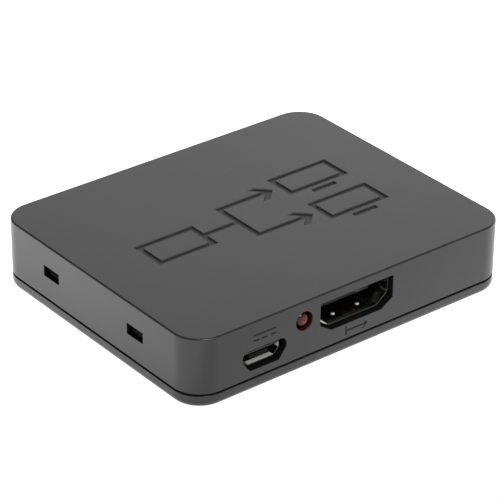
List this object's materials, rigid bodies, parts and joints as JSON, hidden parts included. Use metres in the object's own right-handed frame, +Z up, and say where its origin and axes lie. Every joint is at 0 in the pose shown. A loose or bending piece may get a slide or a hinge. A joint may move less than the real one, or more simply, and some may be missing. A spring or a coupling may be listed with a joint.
{
  "type": "video splitter box",
  "caption": "Flat charcoal plastic box that feeds a video input to its outputs: snap-together covers, steel sockets, power socket, red lamp and the populated board inside.",
  "frame": {"origin": "middle of the underside, on the table", "axes": "+X along the port faces, to the right as seen from the front; +Y from the front, with the input, to the back, with the outputs; +Z up"},
  "size_m": [0.064, 0.052, 0.0122],
  "materials": {
    "case_plastic": "fine matte texture",
    "board_laminate": "satin solder mask",
    "shell_steel": "satin plated",
    "leaf_steel": "satin plated",
    "power_steel": "satin plated",
    "socket_plastic": "smooth",
    "contact_gold": "thin gold plate",
    "lens_red": "clear tinted",
    "tinned_metal": "tinned",
    "chip_resin": "moulded resin",
    "crystal_steel": "drawn can",
    "ferrite": "matte sintered",
    "can_aluminium": "satin",
    "ceramic": "fired ceramic"
  },
  "bodies": {
    "base": {"bottom_cover": "case_plastic", "snap_tongues": "case_plastic", "circuit_board": "board_laminate", "input_shell": "shell_steel", "input_insulator": "socket_plastic", "input_contacts": "contact_gold", "output_1_shell": "shell_steel", "output_1_insulator": "socket_plastic", "output_1_contacts": "contact_gold", "output_2_shell": "shell_steel", "output_2_insulator": "socket_plastic", "output_2_contacts": "contact_gold", "power_shell": "power_steel", "power_insulator": "socket_plastic", "power_contacts": "contact_gold", "lamp_lens": "lens_red", "lamp_leads": "tinned_metal", "splitter_chip": "chip_resin", "splitter_chip_leads": "tinned_metal", "regulator": "chip_resin", "regulator_leads": "tinned_metal", "memory_chip": "chip_resin", "memory_chip_leads": "tinned_metal", "crystal": "crystal_steel", "power_coil": "ferrite", "bulk_capacitor_cans": "can_aluminium", "bulk_capacitor_bases": "socket_plastic", "ceramic_capacitors": "ceramic", "ceramic_capacitor_ends": "tinned_metal", "chip_resistors": "chip_resin", "chip_resistor_ends": "tinned_metal", "surge_arrays": "chip_resin"},
    "cover": {"top_cover": "case_plastic"},
    "input_upper_leaves": {"input_upper_leaves": "leaf_steel"},
    "input_lower_leaves": {"input_lower_leaves": "leaf_steel"},
    "output_1_upper_leaves": {"output_1_upper_leaves": "leaf_steel"},
    "output_1_lower_leaves": {"output_1_lower_leaves": "leaf_steel"},
    "output_2_upper_leaves": {"output_2_upper_leaves": "leaf_steel"},
    "output_2_lower_leaves": {"output_2_lower_leaves": "leaf_steel"}
  },
  "joints": [
    {"name": "cover_tilt", "type": "hinge", "parent": "base", "child": "cover", "pos_m": [0, -0.026, 0.00247], "axis": [1, 0, 0], "range_deg": [0, 100], "deforming": ["snap_tongues"]},
    {"name": "input_upper_flex", "type": "hinge", "parent": "base", "child": "input_upper_leaves", "pos_m": [0, -0.018, 0.01033], "axis": [-1, 0, 0], "range_deg": [0, 2.81], "stiffness_Nm_per_rad": 0.5},
    {"name": "input_lower_flex", "type": "hinge", "parent": "base", "child": "input_lower_leaves", "pos_m": [0, -0.018, 0.00553], "axis": [1, 0, 0], "range_deg": [0, 2.81], "stiffness_Nm_per_rad": 0.5},
    {"name": "output_1_upper_flex", "type": "hinge", "parent": "base", "child": "output_1_upper_leaves", "pos_m": [0.014, 0.0169, 0.01033], "axis": [1, 0, 0], "range_deg": [0, 2.81], "stiffness_Nm_per_rad": 0.5},
    {"name": "output_1_lower_flex", "type": "hinge", "parent": "base", "child": "output_1_lower_leaves", "pos_m": [0.014, 0.0169, 0.00553], "axis": [-1, 0, 0], "range_deg": [0, 2.81], "stiffness_Nm_per_rad": 0.5},
    {"name": "output_2_upper_flex", "type": "hinge", "parent": "base", "child": "output_2_upper_leaves", "pos_m": [-0.014, 0.0169, 0.01033], "axis": [1, 0, 0], "range_deg": [0, 2.81], "stiffness_Nm_per_rad": 0.5},
    {"name": "output_2_lower_flex", "type": "hinge", "parent": "base", "child": "output_2_lower_leaves", "pos_m": [-0.014, 0.0169, 0.00553], "axis": [-1, 0, 0], "range_deg": [0, 2.81], "stiffness_Nm_per_rad": 0.5}
  ]
}
